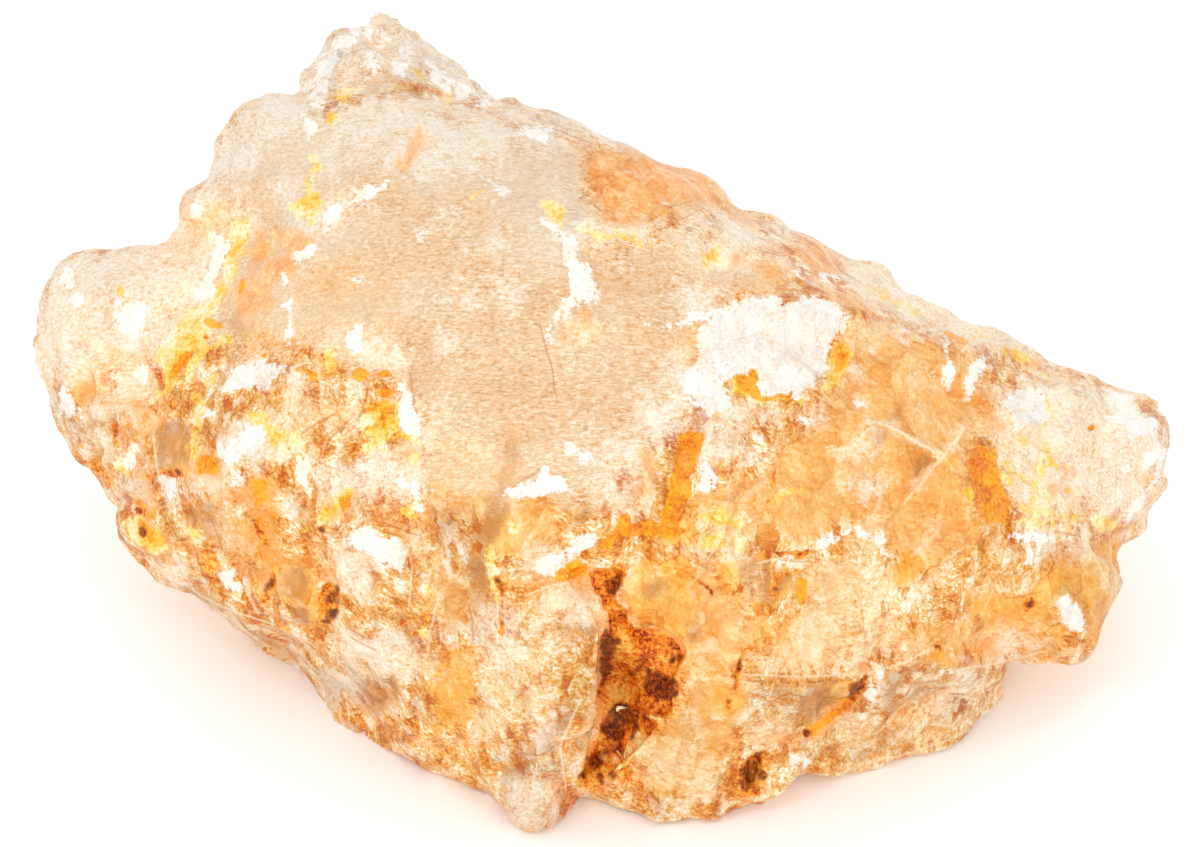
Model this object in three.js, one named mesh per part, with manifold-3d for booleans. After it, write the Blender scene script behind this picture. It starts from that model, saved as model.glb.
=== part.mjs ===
// Rough petalite: one block of cleaved crystal, broken free on every side and lying on a flat break.
// Millimetres, +Z up, +X along its length, origin under its middle on the surface it lies on.
import * as THREE from "three";
import { ConvexHull } from "three/addons/math/ConvexHull.js";
import { ImprovedNoise } from "three/addons/math/ImprovedNoise.js";
import { ConvexGeometry } from "three/addons/geometries/ConvexGeometry.js";
import { mergeVertices } from "three/addons/utils/BufferGeometryUtils.js";
import Module from "manifold-3d";

const wasm = await Module();
wasm.setup();

// The broad side leans back by LEAN from upright. Corners on it are [across, up the lean, out of it]
// from a point inside the stone that is INSIDE_HEIGHT above the surface it lies on.
const LEAN = THREE.MathUtils.degToRad(45);
const INSIDE_HEIGHT = 16.7;

// Every corner can be seen from the heart, in the same axes as the broad side's corners.
const HEART = new THREE.Vector3(0, 0, -6);

// Edges longer than LONGEST_EDGE are halved, and each new middle stands off by ROUGHNESS of its
// edge at most. GRAIN is how many turns the unevenness has in a millimetre.
const LONGEST_EDGE = 1.95;
const ROUGHNESS = 0.1;
const GRAIN = 0.9;

// Corners nearer than this are one corner.
const WELD = 1e-4;

// The stone is cut level with the surface it lies on by a block of this size under it.
const GROUND = 200;

// The rim of the broad side, clockwise from the tip of the left knob.
const RIM = {
  leftKnobTop: [
    [-30, 4.5, -10], [-30, 6, -10], [-29.5, 7.5, -9.5], [-28.5, 8.75, -9.5], [-27, 9.5, -9.5],
    [-24.75, 9.25, -10], [-23.25, 10, -9.5],
  ],
  leftEdge: [
    [-22, 11.25, -8.5], [-21, 13.25, -7.5], [-19.5, 15.5, -7], [-19.25, 16.75, -7.5],
    [-17.75, 18, -8], [-16.75, 17.5, -8.5],
  ],
  topKnob: [
    [-16, 17.75, -10], [-15.75, 19, -11], [-14.75, 20, -12], [-14, 21, -12.5], [-13, 21, -12.5],
    [-11.5, 22, -13], [-10.5, 21.5, -13], [-9.75, 20.5, -13.5], [-8.75, 20.5, -14],
    [-7.5, 19.25, -14], [-7, 18.25, -13.5], [-6, 17.25, -12.5], [-6, 17.25, -9.5],
  ],
  crest: [
    [-4.5, 17.5, -11], [-2.5, 17, -10], [-1, 16.25, -10], [1.25, 15, -9.75], [3.5, 14.25, -9.25],
    [5, 13.75, -9.25], [7, 12, -9.5], [8.25, 11.25, -10],
  ],
  backLedge: [
    [9.25, 11.5, -10.5], [10, 10.75, -10.5], [11.5, 10.25, -10.5], [12.25, 9.75, -11.5],
    [14, 9, -12.5], [15.25, 8.25, -12.5], [17, 6.75, -12], [18.5, 6.5, -11.5],
    [20.5, 5.25, -11], [23, 4, -10.5], [23, 3.5, -9.5],
  ],
  rightEnd: [
    [24.5, 2.75, -8], [26, 2.75, -9.5], [27.5, 2, -9.5], [29, 1.5, -9.5], [30, 0.75, -9.5],
    [29.75, -0.25, -9], [30, -2.5, -9.5], [29.5, -3.75, -9.5], [29, -5, -9.5],
  ],
  plateEdge: [
    [28, -5.25, -8.5], [27.5, -6.25, -7.5], [27.5, -7.75, -7], [26.75, -10, -6.5],
    [26.25, -11, -6], [25.25, -11.75, -6], [23.5, -11.5, -6], [21.75, -12.25, -7],
  ],
  lobe: [
    [21, -13.25, -7.5], [21, -14, -8], [20.25, -15.25, -7.75], [18.75, -16.75, -6.25],
    [16, -17.5, -5.5], [13.75, -17.75, -5.25], [12, -18.5, -4.5], [10.75, -18.25, -4.5],
  ],
  foot: [
    [9, -19.75, -3.25], [7.25, -19.75, -3.25], [6, -20.5, -2.5], [4, -20.5, -2.5],
    [3, -20.75, -2.25], [1, -20, -3.25], [-0.5, -19.25, -4.25], [-1.5, -19.25, -4.25],
    [-0.25, -18.75, -2.5], [-1.25, -19, -2.5],
  ],
  nub: [
    [-2.25, -20.75, -2.5], [-3.75, -21.25, -2], [-5, -20.25, -2.75], [-5.25, -19.5, -3.5],
  ],
  leftFoot: [
    [-6.75, -19, -4], [-9.25, -18, -5], [-10.75, -17, -6], [-12, -15.75, -7],
    [-13.5, -15.25, -7.5], [-14.75, -13.5, -8.5], [-18, -11.5, -9.5], [-19.75, -10, -9.5],
    [-21.75, -8.75, -9.5], [-23.75, -8, -9.5], [-24.5, -7.25, -9.5],
  ],
  leftKnobFoot: [
    [-25.5, -5.25, -9], [-25.25, -4.25, -8.5], [-26.25, -2.75, -9], [-27.75, -1.5, -9.5],
    [-28.75, 0.25, -9.5], [-29.25, 2, -9.5],
  ],
};

// The forms inside that rim.
const BROAD_SIDE = {
  cleavageFace: [
    [-17.75, 16.75, -5], [-15.75, 16, -4.25], [-13.25, 17.25, -4.5], [-10.25, 17.75, -5],
    [-8, 16.25, -4], [-5.25, 16.75, -5.5], [-19, 14.5, -5.25], [-20.25, 12.75, -5],
    [-16.5, 13.25, -2.5], [-13.25, 14.25, -2], [-8, 14.25, -1.5], [-3, 14.75, -2.5],
    [-10.5, 9.5, 1.25], [-6.25, 9.5, 2.25], [-3, 10.25, 2.25], [-15.75, 8.5, 0.25],
    [-14.25, 6.25, 2.25], [-9.75, 5.25, 4], [-5.25, 3.75, 5.5], [-2, 5.75, 4.5],
    [0.5, 3.25, 5.25], [3.25, 5.25, 4], [1, 9, 1.75], [-9, 0.5, 6.25], [-9.25, -3.75, 7],
    [-5.25, -4, 8.25], [-2, -4, 8.25], [1, -2, 7.75], [4, 0.5, 6.5],
  ],
  upperRightSlope: [
    [0, 15.25, -5.5], [1, 13.5, -2.5], [4.75, 13, -5.25], [2, 11.25, 0], [5.25, 11.25, -1.75],
    [7.75, 10.5, -5], [5.25, 8.25, 1], [8.75, 9.25, -2.25], [11.25, 8.75, -4.5],
    [12.5, 7.75, -4.75], [4.75, 4.75, 3.5], [5.25, 1.5, 5.25], [8.5, 6.25, 1.75],
    [10.5, 4.25, 1.75], [11.75, 1.75, 3.5], [13, 6, -0.5], [8.5, 2.25, 4.25],
  ],
  topKnob: [
    [-14.25, 19, -8.5], [-12, 20.25, -8.75], [-10.5, 19.75, -9.5], [-13.25, 18.25, -7.5],
    [-9.5, 18.75, -9], [-8.25, 17.75, -7.5], [-14.75, 17.5, -6.5],
  ],
  backLedge: [
    [13.75, 7.75, -8.5], [17.25, 5.75, -7.75], [21.25, 4, -7.5], [13.75, 6.75, -3.5],
    [16, 5.25, -3.25], [19, 4.25, -3.5],
  ],
  leftKnob: [
    [-28.5, 6, -6.75], [-26.25, 7.75, -5.5], [-26.5, 4.5, -4.75], [-23.75, 7.25, -4.5],
    [-24, 4.5, -4.25], [-21, 8.75, -4.75], [-28.5, 1.75, -7], [-26, 1.25, -5],
    [-27, -0.75, -6.75],
  ],
  stainedFurrow: [
    [-15.75, 11.75, -1.5], [-19, 10.25, -4], [-20.75, 6.75, -4.25], [-23, 3.5, -5],
    [-24.25, 1.25, -5], [-24.75, -1.25, -5.75], [-25, -3.5, -7],
  ],
  leftShoulder: [
    [-18.5, 5.25, 0.25], [-20, 1.75, 0.5], [-22, 1, -1.5], [-15.75, 2.75, 3.5],
    [-16.25, -0.5, 4.25], [-11.5, 2, 4.75], [-13.25, -1.25, 5.5], [-10.75, -0.75, 5.5],
    [-19, -2, 2.5], [-22.25, -2, -1.25],
  ],
  leftWall: [
    [-23.5, -5.75, -5], [-20.75, -4.75, -0.5], [-19, -6.75, -0.5], [-17.5, -7.25, -1.75],
    [-15.75, -4.75, 2.75], [-14.25, -9, 0.25], [-12, -6, 5], [-11.75, -9, 3.5],
    [-18.5, -10.25, -4.5], [-15.75, -11.5, -5.25], [-13.25, -12, -2], [-12.25, -14.5, -4.5],
    [-9.25, -9.5, 4.5], [-8.5, -14.25, 1], [-9.5, -17, -3.25], [-21.5, -7.75, -5.5],
  ],
  middleColumns: [
    [-6.5, -6.75, 6.75], [-6, -11, 4.75], [-6.75, -16.25, -0.25], [-5, -14.25, 3.5],
    [-3.25, -9, 6.5], [-0.5, -9.5, 6.75], [0.25, -11, 6.5], [-2, -13.25, 5.25],
    [-0.5, -16.25, 2.25], [-3.25, -18, 0.5], [-3.75, -19.75, -0.75],
  ],
  rightColumns: [
    [0.75, -6.75, 7.5], [2, -9, 7], [4.75, -6, 7.5], [5.25, -9.5, 6.5], [5, -12.25, 5.25],
    [4.75, -15.75, 2.75], [3.75, -19, -0.5], [7.25, -9.5, 6.25], [7, -14.25, 3],
    [6, -18.75, -0.5], [8, -6, 6.75],
  ],
  glassyPlate: [
    [7, -2.75, 6.75], [10.5, -0.5, 5], [10.5, -4.25, 6], [14, 0, 4.25], [15.75, -2.75, 4.25],
    [15.25, 3, 1], [13.25, 4.75, 0.25], [18.5, 1.75, 0.5], [21, 3, -4.5], [18.25, -1.25, 3],
    [21, -0.5, -0.5], [19.75, -4.75, 2.5], [13.25, -9, 5.5], [10.5, -10, 5.75],
    [8.5, -12.75, 4.75], [14, -12.5, 3.5], [16, -11, 3.5], [19, -11.25, 0.5],
    [18.5, -8.5, 2.75], [22, -6.75, 0.5], [21, -10, -0.5], [24.25, -4.25, -1.5],
    [24.25, -9, -1.5], [26.25, -6, -2.75], [26, -9.25, -3.25], [24.25, -11, -3.5],
  ],
  rightEnd: [
    [23.75, 0, -3.25], [26.25, 1.5, -5.5], [27.25, -1, -4.75], [28.75, 0, -6.5],
    [28.5, -3, -6.25], [26.5, -4.5, -3.75],
  ],
  clearLobe: [
    [10, -14.5, 1.5], [13.25, -14.5, -1], [9.25, -17, -0.75], [11.5, -16.75, -2.25],
    [15.75, -14.25, -2.5], [18.75, -13.75, -4.25], [14.75, -16, -3.5], [18.5, -15.5, -5],
    [20.25, -12.75, -4.5],
  ],
};

// The sides hidden behind the broad side are [along, back, height above the surface]. Corners
// below the surface are cut off level with it, which leaves the flat break the stone lies on.
const BACK = {
  restingBreak: [
    [-16, 11, -1.2], [-5, 15, -1.2], [7, 12.5, -1.2], [18, 9.5, -1.2], [-18, 3, -1.2],
    [-14, -5, -1.2], [-4, -10, -1.2], [7, -10.5, -1.2], [16, -6, -1.2], [20.5, 2, -1.2],
    [0, 0, -1.2], [10, 0, -1.2], [-9, 4, -1.2],
  ],
  lowerBack: [
    [-25, 4, 6], [-22, 14, 9], [-12, 19.5, 8], [0, 21.5, 10], [10, 18.5, 7], [19, 13, 8],
    [25, 8, 7], [26, 2, 5],
  ],
  upperBack: [
    [-26, 9, 12], [-23.5, 14, 15], [-16, 20.5, 16], [-8, 24.5, 17], [-3.5, 21.5, 17.5],
    [3, 18.5, 15.5], [12, 16, 12.5],
  ],
};

// Pits are cut by the hull of a mouth in the open air and a floor inside the stone.
const PITS = {
  ironPocketThroat: {
    mouth: [[-1.75, -7.25, 12], [1.25, -7.25, 12], [1.75, -10.5, 12], [0.25, -10.75, 12]],
    floor: [[-1.5, -7.5, 3.5], [1, -7.5, 3.5], [1.5, -10, 2.5], [0, -10.25, 2.5]],
  },
  ironPocket: {
    mouth: [
      [0.75, -9.5, 12], [2.75, -10, 12], [4.75, -11.25, 12], [3.75, -13.75, 12],
      [4, -15.25, 12], [0, -14.75, 12],
    ],
    floor: [
      [-0.25, -10, 1.5], [2.75, -10.5, 1.5], [4, -11.5, 1.5], [3.5, -13.75, 0.25],
      [3.5, -15, -0.5], [-0.75, -14.5, -0.5],
    ],
  },
  ironPocketFoot: {
    mouth: [
      [0, -14.25, 12], [3.5, -15.25, 12], [1.25, -17.25, 12], [0.25, -19.25, 12],
      [-1.25, -19, 12],
    ],
    floor: [
      [-0.5, -14.5, -0.5], [3, -15.25, -0.25], [0.5, -17, -1.75], [-0.25, -18.5, -2.75],
      [-1.25, -18.5, -2.75],
    ],
  },
  footSlot: {
    mouth: [[7.75, -17, 8], [8.75, -16.75, 8], [8.5, -19, 8], [7.25, -19, 8]],
    floor: [[8, -17.25, -2.5], [8.5, -17, -2.5], [8.25, -18.75, -3], [7.5, -18.75, -3]],
  },
  gapUnderPlate: {
    mouth: [[10.5, -13.25, 9], [14, -13, 9], [13.5, -14.25, 9], [11.25, -15.5, 9]],
    floor: [[11.25, -13.5, -2.5], [13.75, -13.25, -2.5], [13.25, -14.25, -3], [11.5, -15, -3]],
  },
};

// Splits between upright columns run from one place on the broad side to another. They are wedges,
// ROOT_SHARE as wide at the root as at the surface.
const ROOT_SHARE = 0.25;
const SPLITS = {
  middleColumn: { from: [-5.5, -6.75, 6.5], to: [-5.5, -10.5, 5], width: 0.9, depth: 1.6 },
  rightColumn: { from: [7.5, -11.5, 5], to: [6.75, -14.75, 2.5], width: 1, depth: 1.6 },
  leftCrevice: { from: [-17.5, -3.75, 2], to: [-17.25, -8.5, -1.25], width: 1.2, depth: 2 },
  leftHollow: { from: [-14, -7.25, 2.5], to: [-14.75, -10.25, -0.5], width: 2, depth: 2.6 },
};

const vectorsOf = (places) => places.map((place) => new THREE.Vector3(...place));
const allOf = (group) => vectorsOf(Object.values(group).flat());

function toBroadSideAxes(place) {
  place.z -= INSIDE_HEIGHT;
  return place.applyAxisAngle(new THREE.Vector3(1, 0, 0), -LEAN);
}

// Corners that are neighbours when looked at from the heart are joined by flat breaks.
function breaksBetween(corners) {
  const sights = corners.map((corner) => corner.clone().sub(HEART).normalize());
  const numberOf = new Map(sights.map((sight, i) => [sight, i]));
  return new ConvexHull()
    .setFromPoints(sights)
    .faces.map(({ edge }) => [edge.prev, edge, edge.next].map((e) => numberOf.get(e.head().point)));
}

function outwardAt(points, faces) {
  const sums = points.map(() => new THREE.Vector3());
  for (const [a, b, c] of faces) {
    const ab = points[b].clone().sub(points[a]);
    const ac = points[c].clone().sub(points[a]);
    const across = ab.cross(ac);
    for (const corner of [a, b, c]) sums[corner].add(across);
  }
  return sums.map((sum) => sum.normalize());
}

// A face with one or two halved edges is turned so that its first edge is halved and its last isn't.
function splitFace([a, b, c], [ab, bc, ca]) {
  const halved = [ab, bc, ca].filter((middle) => middle !== null).length;
  if (halved === 0) return [[a, b, c]];
  if (halved === 3) return [[a, ab, ca], [ab, b, bc], [ca, bc, c], [ab, bc, ca]];
  if (ab === null || ca !== null) return splitFace([b, c, a], [bc, ca, ab]);
  if (halved === 1) return [[a, ab, c], [ab, b, c]];
  return [[a, ab, c], [ab, b, bc], [ab, bc, c]];
}

// Halves every edge that is too long, adding the uneven middles to points, and returns the faces.
function splitLongEdges(points, faces, unevenness) {
  const outward = outwardAt(points, faces);
  const middles = new Map();
  const middleOf = (i, j) => {
    const length = points[i].distanceTo(points[j]);
    if (length <= LONGEST_EDGE) return null;
    const key = `${Math.min(i, j)} ${Math.max(i, j)}`;
    if (!middles.has(key)) {
      const middle = points[i].clone().lerp(points[j], 0.5);
      const { x, y, z } = middle.clone().multiplyScalar(GRAIN);
      const lift = unevenness.noise(x, y, z) * ROUGHNESS * length;
      const normal = outward[i].clone().add(outward[j]).normalize();
      middles.set(key, points.length);
      points.push(middle.addScaledVector(normal, lift));
    }
    return middles.get(key);
  };
  return faces.flatMap((face) => {
    const [a, b, c] = face;
    return splitFace(face, [middleOf(a, b), middleOf(b, c), middleOf(c, a)]);
  });
}

function roughBlock(corners) {
  const points = [...corners];
  const unevenness = new ImprovedNoise();
  let faces = breaksBetween(points);
  let before = 0;
  while (faces.length > before) {
    before = faces.length;
    faces = splitLongEdges(points, faces, unevenness);
  }
  return new THREE.BufferGeometry().setFromPoints(points).setIndex(faces.flat());
}

function solidOf(geometry) {
  const bare = new THREE.BufferGeometry();
  bare.setAttribute("position", geometry.attributes.position);
  bare.setIndex(geometry.index);
  const merged = mergeVertices(bare, WELD);
  const mesh = new wasm.Mesh({
    numProp: 3,
    vertProperties: merged.attributes.position.array,
    triVerts: new Uint32Array(merged.index.array),
  });
  return new wasm.Manifold(mesh);
}

function geometryOf(solid) {
  const { vertProperties, triVerts } = solid.getMesh();
  const geometry = new THREE.BufferGeometry();
  geometry.setAttribute("position", new THREE.BufferAttribute(vertProperties, 3));
  return geometry.setIndex(new THREE.BufferAttribute(triVerts, 1));
}

const hullOf = (places) => solidOf(new ConvexGeometry(places));

const pitCutter = ({ mouth, floor }) => hullOf(vectorsOf([...mouth, ...floor]));

function splitCutter({ from, to, width, depth }) {
  const [start, end] = vectorsOf([from, to]);
  const out = new THREE.Vector3(0, 0, 1);
  const aside = end.clone().sub(start).normalize().cross(out).normalize();
  const place = (along, sideways, outwards) =>
    along.clone().addScaledVector(aside, sideways).addScaledVector(out, outwards);
  const mouth = width / 2;
  const root = mouth * ROOT_SHARE;
  const corners = [start, end].flatMap((along) => [
    place(along, mouth, depth),
    place(along, -mouth, depth),
    place(along, root, -depth),
    place(along, -root, -depth),
  ]);
  return hullOf(corners);
}

const ground = () =>
  solidOf(new THREE.BoxGeometry(GROUND, GROUND, GROUND).translate(0, 0, -GROUND / 2));

// A cut can set a chip free, and only the stone itself is kept.
function largestOf(solid) {
  return solid.decompose().reduce((most, piece) => (piece.volume() > most.volume() ? piece : most));
}

function stoneGeometry() {
  const hidden = allOf(BACK).map(toBroadSideAxes);
  const corners = [...allOf(RIM), ...allOf(BROAD_SIDE), ...hidden];
  let leaning = solidOf(roughBlock(corners));
  for (const pit of Object.values(PITS)) leaning = leaning.subtract(pitCutter(pit));
  for (const split of Object.values(SPLITS)) leaning = leaning.subtract(splitCutter(split));
  const standing = geometryOf(leaning).rotateX(LEAN).translate(0, 0, INSIDE_HEIGHT);
  const stone = geometryOf(largestOf(solidOf(standing).subtract(ground())));
  stone.computeBoundingBox();
  const middle = stone.boundingBox.getCenter(new THREE.Vector3());
  return stone.translate(-middle.x, -middle.y, 0);
}

function petalite() {
  const crystal = new THREE.MeshStandardMaterial({ roughness: 0.35, metalness: 0 });
  crystal.color.set(0xf3c79c);
  const mesh = new THREE.Mesh(stoneGeometry(), crystal);
  mesh.name = "petalite";
  return mesh;
}

const root = new THREE.Group();
root.add(petalite());
export default root;
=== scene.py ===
import math

import bmesh
import bpy
import numpy as np
from mathutils import Matrix, Vector, kdtree
from mathutils.bvhtree import BVHTree


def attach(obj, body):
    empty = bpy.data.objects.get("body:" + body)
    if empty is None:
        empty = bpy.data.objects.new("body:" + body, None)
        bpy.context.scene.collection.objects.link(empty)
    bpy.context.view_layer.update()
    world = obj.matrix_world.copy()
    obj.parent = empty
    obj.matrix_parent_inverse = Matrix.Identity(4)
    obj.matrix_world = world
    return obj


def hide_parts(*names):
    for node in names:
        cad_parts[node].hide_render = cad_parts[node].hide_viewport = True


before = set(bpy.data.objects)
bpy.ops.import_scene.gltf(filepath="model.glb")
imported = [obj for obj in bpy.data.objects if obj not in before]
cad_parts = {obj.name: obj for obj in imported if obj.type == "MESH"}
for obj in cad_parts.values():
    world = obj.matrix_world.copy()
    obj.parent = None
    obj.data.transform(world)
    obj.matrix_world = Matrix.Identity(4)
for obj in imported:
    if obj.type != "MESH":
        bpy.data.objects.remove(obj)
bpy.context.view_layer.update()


# ---------------------------------------------------------------------------------------------
# The block: one piece of petalite, hammered out of its pegmatite. The solid is remeshed finely
# enough to carry the ledges and splits that are cut into it below.
# ---------------------------------------------------------------------------------------------

MM = 0.001
REMESH = 0.225  # mm

# The broad side leans back. On it, places are across, up the lean and out of it, in millimetres
# from FACE_ORIGIN, which is inside the stone.
LEAN = math.radians(45)
FACE_ORIGIN = np.array([0.0, -5.57, 16.7])
ACROSS = np.array([1.0, 0.0, 0.0])
UP = np.array([0.0, math.cos(LEAN), math.sin(LEAN)])
OUT = np.array([0.0, -math.sin(LEAN), math.cos(LEAN)])
ON_FACE = np.stack([ACROSS, UP, OUT], axis=1)

# A ruled sheet held flat on the broad side: 19 rules to the millimetre, from its top left corner.
RULES = 19.0
SHEET_ORIGIN = np.array([600.0, 430.0])


def marks(text):
    """Marks on the sheet, parted by semicolons: each has its own sizes, then its corners."""
    found = []
    for mark in text.split(";"):
        words = mark.split()
        sizes = [float(word) for word in words if "," not in word]
        corners = [[float(part) for part in word.split(",")] for word in words if "," in word]
        found.append((*sizes, np.array(corners)))
    return found


# Crystals that the breaks left standing, or that fill a split: how far the crystal's face stands
# out of the stone round it, in millimetres, and its outline.
CRYSTALS = """
    0.45 530,600 548,587 570,582 590,590 606,612 611,628 600,690 560,740 540,690 528,640; 0.35 330,545
    345,525 375,522 405,542 412,570 408,606 380,620 342,610 330,575; -0.1 796,720 804,688 832,676
    866,675 862,702 836,726 812,732; -0.2 726,640 757,640 750,732 722,732;
    -0.25 250,486 276,486 278,612 252,612; -0.4 316,580 341,580 343,628 316,628;
    -0.2 488,546 507,546 508,642 490,642; -1 570,562 632,556 636,590 646,632 598,634 584,596; -1.5
    598,622 650,618 696,640 694,690 640,706 596,690; -0.7 596,676 690,676 692,706 664,722 604,708; -1.4
    598,700 672,704 676,742 622,756 606,802 568,792 588,740; 0.05 138,356 170,318 210,296 232,318
    204,352 168,392
"""
NUBS = [(531, 799, 1.65, 1.5), (1076, 617, 1.2, 0.9)]  # at, radius and how deep its middle is, mm
CRYSTAL_DEPTH = 6.0  # mm, how far each one reaches into the stone
FACE_SHARE = 0.72  # how wide its face is between the bevels, beside its outline
OUTSIDE = 60.0  # mm, well clear of the stone


def from_sheet(x, y, out=0.0):
    across, up = (x - SHEET_ORIGIN[0]) / RULES, (SHEET_ORIGIN[1] - y) / RULES
    return FACE_ORIGIN + ACROSS * across + UP * up + OUT * out


def add_crystal(parts, surface, outline, stands_out):
    """A tablet with bevelled edges, seated in the surface that its outline lies on."""
    middle = outline.mean(axis=0)
    corners = []
    for x, y in outline:
        hit = surface.ray_cast(Vector(from_sheet(x, y, OUTSIDE)), Vector(-OUT))[0]
        if hit is None:
            continue
        inner_x, inner_y = middle + (np.array([x, y]) - middle) * FACE_SHARE
        shift = from_sheet(inner_x, inner_y) - from_sheet(x, y)
        corners.append(np.array(hit) + OUT * min(stands_out, 0))
        corners.append(np.array(hit) - OUT * CRYSTAL_DEPTH)
        corners.append(np.array(hit) + shift + OUT * stands_out)
    added = [parts.verts.new(corner) for corner in corners]
    bmesh.ops.convex_hull(parts, input=added)


def remeshed(name, source, cell):
    """A merged copy of a CAD mesh in millimetres, with its crystals, remeshed in that size."""
    mesh = source.data.copy()
    mesh.transform(Matrix.Scale(1 / MM, 4))
    parts = bmesh.new()
    parts.from_mesh(mesh)
    bmesh.ops.remove_doubles(parts, verts=parts.verts, dist=1e-4)
    surface = BVHTree.FromBMesh(parts)
    for stands_out, outline in marks(CRYSTALS):
        add_crystal(parts, surface, outline, stands_out)
    for x, y, radius, sunk in NUBS:
        hit = surface.ray_cast(Vector(from_sheet(x, y, OUTSIDE)), Vector(-OUT))[0]
        if hit is not None:
            middle = Matrix.Translation(hit - Vector(OUT) * sunk)
            bmesh.ops.create_icosphere(parts, subdivisions=3, radius=radius, matrix=middle)
    parts.to_mesh(mesh)
    parts.free()
    rough = bpy.data.objects.new(name, mesh)
    bpy.context.collection.objects.link(rough)
    modifier = rough.modifiers.new("cells", "REMESH")
    modifier.mode = "VOXEL"
    modifier.voxel_size = cell
    graph = bpy.context.evaluated_depsgraph_get()
    fine = bpy.data.meshes.new_from_object(rough.evaluated_get(graph), depsgraph=graph)
    rough.modifiers.clear()
    rough.data = fine
    fine.materials.clear()
    return rough


def places_of(mesh):
    places = np.empty(len(mesh.vertices) * 3)
    mesh.vertices.foreach_get("co", places)
    return places.reshape(-1, 3)


def outward_of(mesh):
    outward = np.empty(len(mesh.vertices) * 3)
    mesh.vertex_normals.foreach_get("vector", outward)
    return outward.reshape(-1, 3)


def move_to(mesh, places):
    mesh.vertices.foreach_set("co", places.ravel())
    mesh.update()


def on_face(places):
    return (places - FACE_ORIGIN) @ ON_FACE


def on_sheet(places):
    across, up, _ = on_face(places).T
    return np.stack([SHEET_ORIGIN[0] + across * RULES, SHEET_ORIGIN[1] - up * RULES], axis=1)


stone = remeshed("petalite_stone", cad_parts["petalite"], REMESH)


# ---------------------------------------------------------------------------------------------
# Relief: petalite parts along flat cleavages, and between them it breaks in shells, like glass.
# Its columns stand side by side on the front, with splits between them.
# ---------------------------------------------------------------------------------------------

# The twelve ways from the middle of a cube to its edges.
GRADIENTS = np.array([way for way in np.ndindex(3, 3, 3) if sum(part != 1 for part in way) == 2]) - 1.0


def scrambled(cells, seed):
    x, y, z = cells.astype(np.int64).T
    mixed = (x * 73856093) ^ (y * 19349663) ^ (z * 83492791) ^ (seed * 2654435761)
    mixed &= 0xFFFFFFFF
    mixed = ((mixed ^ (mixed >> 15)) * 2246822519) & 0xFFFFFFFF
    return (mixed ^ (mixed >> 13)) & 0xFFFFFFFF


def unevenness(places, size, seed, octaves=1):
    """Gradient noise between about -1 and 1, with lumps of that size in the places' own units."""
    total = np.zeros(len(places))
    for octave in range(octaves):
        p = places / size * 2**octave + 31.7 * octave
        low = np.floor(p)
        f = p - low
        nearness = f * f * f * (f * (f * 6 - 15) + 10)
        lump = np.zeros(len(places))
        for corner in np.ndindex(2, 2, 2):
            step = np.array(corner)
            gradient = GRADIENTS[scrambled(low + step, seed + octave) % len(GRADIENTS)]
            weight = np.prod(np.where(step, nearness, 1 - nearness), axis=1)
            lump += weight * np.sum(gradient * (f - step), axis=1)
        total += lump * 0.55**octave
    return total


def ease(value, low, high):
    t = np.clip((value - low) / (high - low), 0, 1)
    return t * t * (3 - 2 * t)


def from_line(sheet, corners):
    """Distance to a line through the corners, and on which side of it: above 0 on its left."""
    nearest = np.full(len(sheet), 1e9)
    side = np.ones(len(sheet))
    for start, end in zip(np.array(corners[:-1], float), np.array(corners[1:], float)):
        along = end - start
        from_start = sheet - start
        t = np.clip(from_start @ along / (along @ along), 0, 1)
        away = from_start - t[:, None] * along
        distance = np.hypot(*away.T)
        closer = distance < nearest
        nearest = np.where(closer, distance, nearest)
        turn = from_start[:, 0] * along[1] - from_start[:, 1] * along[0]
        side = np.where(closer, np.sign(turn), side)
    return nearest, side


def inside(sheet, corners):
    """Depth inside a closed outline, below 0 outside it."""
    ring = np.array([*corners, corners[0]], float)
    distance, _ = from_line(sheet, ring)
    within = np.zeros(len(sheet), bool)
    for (x0, y0), (x1, y1) in zip(ring[:-1], ring[1:]):
        if y0 == y1:
            continue
        crosses = (y0 > sheet[:, 1]) != (y1 > sheet[:, 1])
        within ^= crosses & (sheet[:, 0] < x0 + (sheet[:, 1] - y0) * (x1 - x0) / (y1 - y0))
    return np.where(within, distance, -distance)


def neighbours(mesh):
    """Both ends of every edge, and how many edges meet at each point."""
    ends = np.empty(len(mesh.edges) * 2, np.int64)
    mesh.edges.foreach_get("vertices", ends)
    first, second = ends.reshape(-1, 2).T
    meeting = np.bincount(ends, minlength=len(mesh.vertices))
    return first, second, meeting


def spread(links, values, rounds):
    """Values at the points, evened out with their neighbours' values a number of times."""
    first, second, meeting = links
    columns = values.reshape(len(meeting), -1)
    for _ in range(rounds):
        total = np.stack(
            [
                np.bincount(first, column[second], len(meeting))
                + np.bincount(second, column[first], len(meeting))
                for column in columns.T
            ],
            axis=1,
        )
        columns = columns * 0.4 + total / np.maximum(meeting, 1)[:, None] * 0.6
    return columns.reshape(values.shape)


def plates(places, count, offset, tilt, seed):
    """Cleavage plates: each is a small plane of its own, set off and tilted a little."""
    random = np.random.default_rng(seed)
    low, high = places.min(axis=0), places.max(axis=0)
    seats = random.uniform(low, high, (count, 3))
    tree = kdtree.KDTree(count)
    for i, seat in enumerate(seats):
        tree.insert(seat, i)
    tree.balance()
    own = np.array([tree.find(place)[1] for place in places])
    offsets = random.uniform(-offset, offset, count)
    tilts = random.uniform(-tilt, tilt, (count, 3))
    return offsets[own] + np.sum(tilts[own] * (places - seats[own]), axis=1)


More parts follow.
